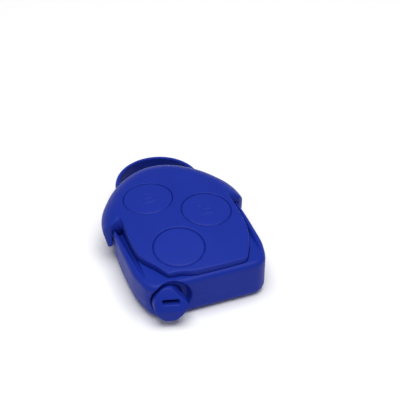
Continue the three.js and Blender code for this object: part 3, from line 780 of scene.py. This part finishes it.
def make_button(key):
    """Hollow round cap flush with the crown, with a flange under the cover and a nib for its switch."""
    centre = BUTTONS[key]
    low = FLANGE_Z[key]
    cap = crowned(circle(centre, BUTTON_R, 120), centre, RIM_RINGS, low,
                  lambda x, y, e: crown_at(x, y) - RIM_DROP * max(0, 1 - e / RIM_RUN) ** 2)
    flange = crowned(circle(centre, FLANGE_R, 96), centre, [1, 0.5, 0.1], low,
                     lambda x, y, e: crown_at(x, y) - COVER_WALL - FLANGE_DROP)
    inside = drawn_in(inset(cavity_outline, FLANGE_ROOM))
    combine(flange, upright(inside, BELOW_SEAL, REACH), "INTERSECT")
    skin = crown_at(*centre) - SKIN_DEPTH
    join(cap, flange)
    cut(cap, post(centre, BUTTON_R - BUTTON_WALL, low - 1, skin))
    join(cap, post(centre, NIB_R, NIB_Z, skin + NIB_ROOT))
    if key in MARK_OPENINGS:
        gather([cap, *padlock_mark(centre, MARK_OPENINGS[key])])
    return soften(cap, BUTTON_GRAIN, THIN_ROUNDS)


def make_keypad_seal():
    """Silicone sheet that follows the crown, with a bead under the edge of each hole."""
    sheet = crowned(seal_outline, SEAL_CENTRE, SEAL_RINGS, SEAL_LOW,
                    lambda x, y, e: crown_at(x, y) - SEAL_TOP)
    cut(sheet, crowned(inset(seal_outline, -1), SEAL_CENTRE, SEAL_RINGS, BELOW_SEAL,
                       lambda x, y, e: crown_at(x, y) - SEAL_UNDER))
    for spot in BUTTONS.values():
        level = crown_at(*spot) - SEAL_UNDER
        bead = post(spot, SEAL_HOLE_R + BEAD_WIDTH, level - BEAD_DROP, level + BEAD_ROOT, 96)
        join(sheet, combine(bead, upright(inset(seal_outline, BEAD_EDGE), BELOW_SEAL, REACH), "INTERSECT"))
    for spot in BUTTONS.values():
        cut(sheet, post(spot, SEAL_HOLE_R, BELOW_SEAL, HEIGHT, 96))
    for spot in RESTS:
        cut(sheet, post(spot, REST_HOLE_R, BELOW_SEAL, HEIGHT))
    for (x, y), (width, depth) in TABS:
        cut(sheet, block((x - SEAL_ROOM, y - SEAL_ROOM, BELOW_SEAL),
                         (x + width + SEAL_ROOM, y + depth + SEAL_ROOM, HEIGHT)))
    return soften(sheet, SEAL_GRAIN, THIN_ROUNDS)


def make_circuit_board():
    """Laminate cut to the casing and round the socket's block, with its edges broken all round."""
    board = upright(inset(cavity_outline, BOARD_GAP), BOARD_LOW, BOARD_HIGH)
    corner = SOCKET.x + BLOCK_HALF.x + SOCKET_GAP
    cut(board, block((-REACH, -REACH, 0), (corner, BLOCK_FAR + SOCKET_GAP, REACH)),
        block((-REACH, -REACH, 0), (corner + BOARD_STEP.x, BLOCK_NEAR + BOARD_STEP.y, REACH)))
    return roll_edges(board, BOARD_EDGE,
                      lambda middle: min(middle.z - BOARD_LOW, BOARD_HIGH - middle.z) < HAIR, 2)


def make_traces():
    """Copper under the solder mask, as a low relief on the board."""
    low = BOARD_HIGH - TRACE_ROOT
    traces = []
    for route in TRACE_ROUTES:
        traces.append(upright(ribbon(route, TRACE_WIDTH), low, BOARD_HIGH + TRACE_RISE))
        for end in (route[0], route[-1]):
            traces.append(post(end, TRACE_WIDTH, low, BOARD_HIGH + TRACE_RISE * PAD_SHARE, 24))
    return gather(traces)


def make_print():
    """Thin printed frames round the chips, the resonator and the capacitors."""
    frames = []
    for node, margin in PRINT_MARGINS.items():
        low, high = room(node)
        spread = Vector((margin, margin, 0))
        line = Vector((PRINT_LINE, PRINT_LINE, 0))
        outer = block((*(low - spread).xy, BOARD_HIGH - TRACE_ROOT),
                      (*(high + spread).xy, BOARD_HIGH + PRINT_RISE))
        inner = block((*(low - spread + line).xy, 0), (*(high + spread - line).xy, REACH))
        frames.append(cut(outer, inner))
    return gather(frames)


def make_switch_case(spot):
    """Square base of a tactile switch with a round well for its snap disc."""
    half = SWITCH_HALF
    case = block((spot.x - half, spot.y - half, BOARD_HIGH), (spot.x + half, spot.y + half, LID_LOW))
    roll_edges(case, SWITCH_ROUND)
    return cut(case, post(spot, WELL_R, BOARD_HIGH + WELL_RISE, HEIGHT, 64))


def make_switch_lid(spot):
    """Pressed steel lid with a hole for the plunger, and four legs bent out onto the board."""
    half = SWITCH_HALF + LID_LAP
    lid = block((spot.x - half, spot.y - half, LID_LOW + HAIR), (spot.x + half, spot.y + half, LID_HIGH))
    roll_edges(lid, LID_ROUND)
    collar = turned([(0, LID_HIGH - 0.2), (1.55, LID_HIGH - 0.2), (1.5, LID_HIGH - 0.03),
                     (1.35, LID_HIGH + 0.05), (0, LID_HIGH + 0.05)], spot)
    cut(join(lid, collar), post(spot, LID_HOLE_R, LID_LOW - 1, HEIGHT, 64))
    bend = [(half - 0.08, LID_HIGH - 0.1), (half + 0.14, LID_HIGH - 0.14),
            (half + 0.16, BOARD_HIGH + 0.2), (half + 0.26, BOARD_HIGH + 0.14),
            (half + 0.9, BOARD_HIGH + 0.14), (half + 0.9, BOARD_HIGH + 0.02),
            (half + 0.18, BOARD_HIGH + 0.02), (half + 0.04, BOARD_HIGH + 0.16), (half + 0.02, LID_LOW)]
    for facing in (-1, 1):
        leg = [(spot.y + facing * y, z) for y, z in bend]
        for shift in LEG_SHIFTS:
            join(lid, across(leg, spot.x + shift, spot.x + shift + LEG_WIDTH))
    bpy.ops.object.shade_smooth_by_angle(angle=SOFT_ANGLE)
    return lid


def make_snap_disc(spot):
    """Dished spring disc that clicks flat under a switch's plunger."""
    shares = [i / 8 for i in range(9)]
    under = [(DISC_R * t, DISC_LOW + DISC_RISE * (1 - t * t)) for t in shares]
    over = [(radius, z + DISC_SHEET) for radius, z in reversed(under)]
    return turned(under + over, spot)


def make_chip(node):
    """Moulded resin package with broken edges and a dimple at its first lead."""
    low, high = room(node)
    low.z += CHIP_LIFT
    chip = roll_edges(block(low, high), CHIP_ROUND, None, 2)
    cut(chip, post((low.x + DIMPLE_IN, high.y - DIMPLE_IN), DIMPLE_R, high.z - DIMPLE_DEPTH, HEIGHT, 40))
    bpy.ops.object.shade_smooth_by_angle(angle=SOFT_ANGLE)
    return chip


def make_leads(node, count):
    """Two rows of bent leads along a chip's left and right sides."""
    low, high = room(node)
    top = low.z + LEAD_TOP
    bend = [(-0.1, top), (0.22, top), (0.36, top - 0.1), (0.46, low.z + 0.2), (0.56, low.z + 0.13),
            (0.9, low.z + 0.13), (0.9, low.z), (0.5, low.z), (0.37, low.z + 0.09), (0.28, top - 0.14),
            (0.2, top - 0.13), (-0.1, top - 0.13)]
    pitch = (high.y - low.y) / count
    near = low.y + pitch / 2 - LEAD_WIDTH / 2
    right = along([(high.x + x, z) for x, z in bend], near, near + LEAD_WIDTH)
    left = along([(low.x - x, z) for x, z in bend], near, near + LEAD_WIDTH)
    leads = [right, left]
    for step in range(1, count):
        leads += [copy_of(first, (0, step * pitch, 0)) for first in (right, left)]
    return gather(leads)


def make_end_caps(node):
    """Tinned caps over both ends of a chip capacitor."""
    low, high = room(node)
    length = high.x - low.x
    width = CAP_SHARE * length
    corner = low - Vector((CAP_WRAP, CAP_WRAP, 0))
    first = block(corner, (low.x + width, high.y + CAP_WRAP, high.z + CAP_WRAP))
    roll_edges(first, CAP_ROUND)
    second = copy_of(first, (length - width + CAP_WRAP, 0, 0))
    return gather([first, second])


def make_capacitor(node):
    """Fired block between the end caps, a little off the board."""
    low, high = room(node)
    ceramic = block(low + Vector((CERAMIC_IN, 0, CERAMIC_LIFT)), high - Vector((CERAMIC_IN, 0, 0)))
    return roll_edges(ceramic, CERAMIC_ROUND, None, 2)


def make_resonator():
    """Drawn can with a welded rim, standing on its base."""
    low, high = room("resonator")
    rim = Vector((CAN_RIM, CAN_RIM, 0))
    base = roll_edges(block(low - rim, Vector((*(high + rim).xy, low.z + CAN_BASE))), CAN_BASE_ROUND)
    can = roll_edges(block(low + rim, Vector((*(high - rim).xy, high.z))), CAN_ROUND, None, 4)
    join(base, can)
    bpy.ops.object.shade_smooth_by_angle(angle=SOFT_ANGLE)
    return base


def make_coin_cell():
    """Can with a crimped lip, a groove where the gasket shows, and the domed lid."""
    low, high = room("coin_cell")
    r = (high.x - low.x) / 2
    lip = high.z - CELL_LIP
    profile = [
        (0, low.z), (r - 0.7, low.z), (r - 0.3, low.z + 0.08), (r - 0.06, low.z + 0.32), (r, low.z + 0.7),
        (r, lip - 0.4), (r - 0.05, lip - 0.15), (r - 0.22, lip - 0.02), (r - 0.5, lip),
        (r - 0.72, lip - 0.1), (r - 0.8, lip - 0.3), (r - 1, lip - 0.3), (r - 1.04, lip),
        (r - 1.15, high.z - 0.06), (r - 1.4, high.z), (0, high.z),
    ]
    return turned(profile, axis_of("coin_cell"), 120)


# Sizes of the finishes' patterns in millimetres, and the wave scale that gives about one band per unit
FLOW_SIZE = 9
MOULD_GRAIN = 0.4
DUST_SIZE = 1.2
CLOTH_THREAD = 1
DULL_PATCH = 2.5
PAPER_TOOTH = 3
WAVE_SCALE = 0.32


def linear(hex_colour):
    """An sRGB hex colour as the linear values that a shader takes."""
    parts = [int(hex_colour[i:i + 2], 16) / 255 for i in (1, 3, 5)]
    return (*[p / 12.92 if p <= 0.04045 else ((p + 0.055) / 1.055) ** 2.4 for p in parts], 1)


def add_node(tree, kind, settings=(), links=()):
    """Adds a node, with its properties and constant sockets set, and links to its other sockets."""
    node = tree.nodes.new(kind)
    for name, value in dict(settings).items():
        if isinstance(name, str) and hasattr(node, name):
            setattr(node, name, value)
        else:
            node.inputs[name].default_value = value
    for socket, source in dict(links).items():
        tree.links.new(source, node.inputs[socket])
    return node


def start_material(name, constants):
    """A new material with its shader's constant sockets set, its node tree and its Object coordinates."""
    material = bpy.data.materials.new(name)
    material.use_nodes = True
    tree = material.node_tree
    shader = tree.nodes["Principled BSDF"]
    for socket, value in constants.items():
        shader.inputs[socket].default_value = value
    return material, tree, shader, add_node(tree, "ShaderNodeTexCoord").outputs["Object"]


def finish_surface(tree, shader, colour, dullness, height, strength, depth):
    """Gives a shader its colour, its roughness, and a bump of a depth in millimetres."""
    bump = add_node(tree, "ShaderNodeBump", {"Strength": strength, "Distance": depth * MM},
                    {"Height": height})
    tree.links.new(colour.outputs[2], shader.inputs["Base Color"])
    tree.links.new(dullness.outputs["Result"], shader.inputs["Roughness"])
    tree.links.new(bump.outputs["Normal"], shader.inputs["Normal"])


def moulded_plastic(name, light, dark, edge_highlight, roughness, specular):
    """Injection-moulded satin plastic: even colour with faint flow, a fine spark-eroded grain that breaks
    the sheen, and a painted highlight that makes the edges a little paler. The grain is drawn coarser than a
    mould leaves it, so that it shows."""
    material, tree, shader, where = start_material(name, {"IOR": 1.53, "Specular IOR Level": specular})
    flow = add_node(tree, "ShaderNodeTexNoise", {"Scale": 1 / (FLOW_SIZE * MM), "Detail": 3},
                    {"Vector": where})
    tone = add_node(tree, "ShaderNodeMix", {"data_type": "RGBA", 6: linear(dark), 7: linear(light)},
                    {0: flow.outputs["Fac"]})
    shape = add_node(tree, "ShaderNodeNewGeometry")
    # Edges are painted paler where their pointiness is high: a painted highlight.
    highlight_share = add_node(tree, "ShaderNodeMapRange", {"From Min": 0.52, "From Max": 0.62, "To Max": 0.45},
                   {"Value": shape.outputs["Pointiness"]})
    colour = add_node(tree, "ShaderNodeMix", {"data_type": "RGBA", 7: linear(edge_highlight)},
                      {0: highlight_share.outputs["Result"], 6: tone.outputs[2]})
    grain = add_node(tree, "ShaderNodeTexNoise", {"Scale": 1 / (MOULD_GRAIN * MM), "Detail": 2},
                     {"Vector": where})
    sheen = add_node(tree, "ShaderNodeMapRange", {"To Min": roughness - 0.05, "To Max": roughness + 0.08},
                     {"Value": grain.outputs["Fac"]})
    finish_surface(tree, shader, colour, sheen, grain.outputs["Fac"], 0.15, 0.02)
    return material


def silicone_rubber(name, light, dark):
    """Pressed silicone rubber: matt and slightly dusty, with a soft bloom at grazing angles."""
    bloom = {"IOR": 1.41, "Sheen Weight": 0.25, "Sheen Roughness": 0.5}
    material, tree, shader, where = start_material(name, bloom)
    dust = add_node(tree, "ShaderNodeTexNoise", {"Scale": 1 / (DUST_SIZE * MM), "Detail": 5},
                    {"Vector": where})
    tone = add_node(tree, "ShaderNodeMix", {"data_type": "RGBA", 6: linear(dark), 7: linear(light)},
                    {0: dust.outputs["Fac"]})
    matt = add_node(tree, "ShaderNodeMapRange", {"To Min": 0.68, "To Max": 0.85},
                    {"Value": dust.outputs["Fac"]})
    finish_surface(tree, shader, tone, matt, dust.outputs["Fac"], 0.2, 0.03)
    return material


def masked_laminate(name, light, dark):
    """Glass-cloth laminate under solder mask: glossy lacquer, with the cloth's weave just showing through.
    The threads are drawn about twice as coarse as real ones, so that they show."""
    lacquer = {"IOR": 1.52, "Coat Weight": 0.3, "Coat Roughness": 0.2}
    material, tree, shader, where = start_material(name, lacquer)
    spacing = WAVE_SCALE / (CLOTH_THREAD * MM)
    threads = []
    for direction in ("X", "Y"):
        cloth = {"bands_direction": direction, "Scale": spacing, "Distortion": 0.6, "Detail": 1}
        threads.append(add_node(tree, "ShaderNodeTexWave", cloth, {"Vector": where}))
    weave = add_node(tree, "ShaderNodeMath", {"operation": "MULTIPLY"},
                     {0: threads[0].outputs["Fac"], 1: threads[1].outputs["Fac"]})
    tone = add_node(tree, "ShaderNodeMix", {"data_type": "RGBA", 6: linear(dark), 7: linear(light)},
                    {0: weave.outputs[0]})
    gloss = add_node(tree, "ShaderNodeMapRange", {"To Min": 0.34, "To Max": 0.46},
                     {"Value": weave.outputs[0]})
    finish_surface(tree, shader, tone, gloss, weave.outputs[0], 0.12, 0.02)
    return material


def filled_resin(name, light, dark, roughness, fleck):
    """Cast or fired compound: a dull surface with flecks of filler, their size given in millimetres."""
    material, tree, shader, where = start_material(name, {"IOR": 1.55})
    flecks = add_node(tree, "ShaderNodeTexNoise", {"Scale": 1 / (fleck * MM), "Detail": 6, "Roughness": 0.7},
                      {"Vector": where})
    tone = add_node(tree, "ShaderNodeMix", {"data_type": "RGBA", 6: linear(dark), 7: linear(light)},
                    {0: flecks.outputs["Fac"]})
    dull = add_node(tree, "ShaderNodeMapRange", {"To Min": roughness - 0.1, "To Max": roughness + 0.1},
                    {"Value": flecks.outputs["Fac"]})
    finish_surface(tree, shader, tone, dull, flecks.outputs["Fac"], 0.25, 0.02)
    return material


def rolled_metal(name, light, dark, roughness, streak):
    """Rolled and plated strip: long fine streaks, their sizes across and along the fob given in
    millimetres, and dull patches."""
    material, tree, shader, where = start_material(name, {"Metallic": 1})
    across_fob, along_fob = streak
    stretch = add_node(tree, "ShaderNodeMapping",
                       {"Scale": (1 / (across_fob * MM), 1 / (along_fob * MM), 1 / MM)}, {"Vector": where})
    lines = add_node(tree, "ShaderNodeTexNoise", {"Scale": 1, "Detail": 4},
                     {"Vector": stretch.outputs["Vector"]})
    tone = add_node(tree, "ShaderNodeMix", {"data_type": "RGBA", 6: linear(dark), 7: linear(light)},
                    {0: lines.outputs["Fac"]})
    patches = add_node(tree, "ShaderNodeTexNoise", {"Scale": 1 / (DULL_PATCH * MM), "Detail": 2},
                       {"Vector": where})
    dull = add_node(tree, "ShaderNodeMapRange", {"To Min": roughness - 0.08, "To Max": roughness + 0.12},
                    {"Value": patches.outputs["Fac"]})
    finish_surface(tree, shader, tone, dull, lines.outputs["Fac"], 0.1, 0.01)
    return material


def seamless_paper():
    """White studio paper with a barely visible tooth."""
    matt = {"Roughness": 0.9, "Specular IOR Level": 0.1}
    material, tree, shader, where = start_material("seamless_paper", matt)
    tooth = add_node(tree, "ShaderNodeTexNoise", {"Scale": 1 / (PAPER_TOOTH * MM), "Detail": 3},
                     {"Vector": where})
    tone = add_node(tree, "ShaderNodeMix", {"data_type": "RGBA", 6: linear("#f8f8f8"), 7: linear("#fbfbfb")},
                    {0: tooth.outputs["Fac"]})
    tree.links.new(tone.outputs[2], shader.inputs["Base Color"])
    return material


# The fourth colour of each moulded plastic is its painted edge highlight.
shell_blue = moulded_plastic("satin_abs_blue", "#182f9a", "#162b90", "#243aa8", 0.42, 0.1)
button_blue = moulded_plastic("satin_abs_button_blue", "#19309c", "#172c92", "#243aa8", 0.45, 0.1)
switch_black = moulded_plastic("moulded_nylon_black", "#26272a", "#1b1c1f", "#3a3b3f", 0.5, 0.5)
plunger_tan = moulded_plastic("turned_acetal_tan", "#ddd3bc", "#d0c4a8", "#ebe4d2", 0.42, 0.5)
seal_blue = silicone_rubber("pressed_silicone_blue", "#26387f", "#1d2c69")
board_green = masked_laminate("masked_laminate_green", "#1f6a41", "#15502f")
trace_green = masked_laminate("masked_copper_green", "#338557", "#27734a")
print_white = filled_resin("screen_print_white", "#eeeee8", "#dcdcd6", 0.7, 0.15)
chip_black = filled_resin("epoxy_resin_black", "#2a2b2d", "#161719", 0.55, 0.12)
ceramic_tan = filled_resin("fired_ceramic_tan", "#bfa47c", "#a88b60", 0.6, 0.1)
spring_steel = rolled_metal("spring_steel_bright", "#c9ccd0", "#a9adb2", 0.28, (0.08, 3))
nickel_steel = rolled_metal("nickel_plated_steel", "#cdcfd0", "#b3b6b9", 0.26, (0.1, 4))
tin_plate = rolled_metal("tin_plated_copper", "#d3d4d2", "#b8bab9", 0.34, (0.15, 1.2))
bronze = rolled_metal("rolled_phosphor_bronze", "#c99a63", "#b07f48", 0.32, (3, 0.08))

place(make_front_cover(), "front_cover_shell", "cover", "shell_plastic", shell_blue, "front_cover")
place(make_body_frame(), "body_frame_shell", "fob_body", "shell_plastic", shell_blue, "body_frame")
place(make_rear_cover(), "rear_cover_shell", "fob_body", "shell_plastic", shell_blue, "rear_cover")
place(make_blade_socket(), "blade_socket_boss", "fob_body", "shell_plastic", shell_blue, "blade_socket")
for key in FLANGE_Z:
    place(make_button(key), f"{key}_button_cap", f"{key}_key", "button_plastic", button_blue, f"{key}_button")
place(make_keypad_seal(), "keypad_seal_sheet", "cover", "seal_rubber", seal_blue, "keypad_seal")

place(make_circuit_board(), "circuit_board_laminate", "fob_body", "board_laminate", board_green,
      "circuit_board")
place(make_traces(), "circuit_board_traces", "fob_body", "board_laminate", trace_green)
place(make_print(), "circuit_board_print", "fob_body", "board_laminate", print_white)
switch_case = make_switch_case(Vector((0, 0)))
switch_lid = make_switch_lid(Vector((0, 0)))
snap_disc = make_snap_disc(Vector((0, 0)))
for key, spot in BUTTONS.items():
    case = copy_of(switch_case, (*spot, 0))
    place(case, f"{key}_switch_case", "fob_body", "switch_plastic", switch_black, f"{key}_switch_base")
    place(copy_of(switch_lid, (*spot, 0)), f"{key}_switch_lid", "fob_body", "can_steel", nickel_steel)
    disc = copy_of(snap_disc, (*spot, 0))
    place(disc, f"{key}_snap_disc", "fob_body", "dome_steel", spring_steel, f"{key}_switch_dome")
    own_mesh(disc)
for pattern in (switch_case, switch_lid, snap_disc):
    bpy.data.meshes.remove(pattern.data)
for node, count in LEAD_COUNTS.items():
    place(make_chip(node), f"{node}_package", "fob_body", "chip_resin", chip_black, node)
    place(make_leads(node, count), f"{node}_leads", "fob_body", "can_steel", tin_plate)
for node in ("supply_capacitor", "tuning_capacitor"):
    place(make_capacitor(node), f"{node}_body", "fob_body", "capacitor_ceramic", ceramic_tan, node)
    place(make_end_caps(node), f"{node}_caps", "fob_body", "can_steel", tin_plate)
place(make_resonator(), "resonator_can", "fob_body", "can_steel", nickel_steel, "resonator")
place(make_coin_cell(), "coin_cell_can", "fob_body", "cell_steel", nickel_steel, "coin_cell")

kept_finishes = {
    "antenna_strip": bronze, "cell_clip_positive": bronze, "cell_contact_negative": bronze,
    "transponder_chip": chip_black,
}
for key in FLANGE_Z:
    kept_finishes[f"{key}_switch_plunger"] = plunger_tan
for node, finish in kept_finishes.items():
    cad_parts[node].material_slots[0].material = finish

# Camera, at the photograph's angle
AZIMUTH = math.radians(-20.2)
ELEVATION = math.radians(39.2)
DISTANCE = 0.3
AIM = Vector((0.0132, 0.0166, 0))
LENS = 91.76
SENSOR = 36
NEAREST = 0.01
away = Vector((math.sin(AZIMUTH) * math.cos(ELEVATION), -math.cos(AZIMUTH) * math.cos(ELEVATION),
               math.sin(ELEVATION)))
camera_data = bpy.data.cameras.new("camera")
camera_data.lens = LENS
camera_data.sensor_width = SENSOR
camera_data.clip_start = NEAREST
camera = bpy.data.objects.new("camera", camera_data)
camera.location = AIM + DISTANCE * away
camera.rotation_euler = away.to_track_quat("Z", "Y").to_euler()
bpy.context.scene.collection.objects.link(camera)
bpy.context.scene.camera = camera

# Floor and soft light, seen as a camera without tone curves records it
FLOOR_SIZE = 3
FLOOR_DROP = 0.02 * MM
ROOM_LIGHT = 0.28
bpy.context.scene.view_settings.view_transform = "Standard"
bpy.ops.object.select_all(action="DESELECT")
bpy.ops.mesh.primitive_plane_add(size=FLOOR_SIZE, location=(0, 0, -FLOOR_DROP))
floor = bpy.context.object
floor.name = "floor"
floor.data.materials.append(seamless_paper())

world = bpy.data.worlds.new("studio")
world.use_nodes = True
world.node_tree.nodes["Background"].inputs["Color"].default_value = (1, 1, 1, 1)
world.node_tree.nodes["Background"].inputs["Strength"].default_value = ROOM_LIGHT
bpy.context.scene.world = world


def softbox(name, location, size, power):
    """Square area light that faces the fob."""
    light = bpy.data.lights.new(name, "AREA")
    light.size = size
    light.energy = power
    lamp = bpy.data.objects.new(name, light)
    lamp.location = location
    lamp.rotation_euler = Vector(location).to_track_quat("Z", "Y").to_euler()
    bpy.context.scene.collection.objects.link(lamp)


softbox("key_softbox", (0, -0.1, 0.75), 0.6, 5.8)
softbox("left_softbox", (-0.6, 0.05, 0.3), 0.4, 0.2)
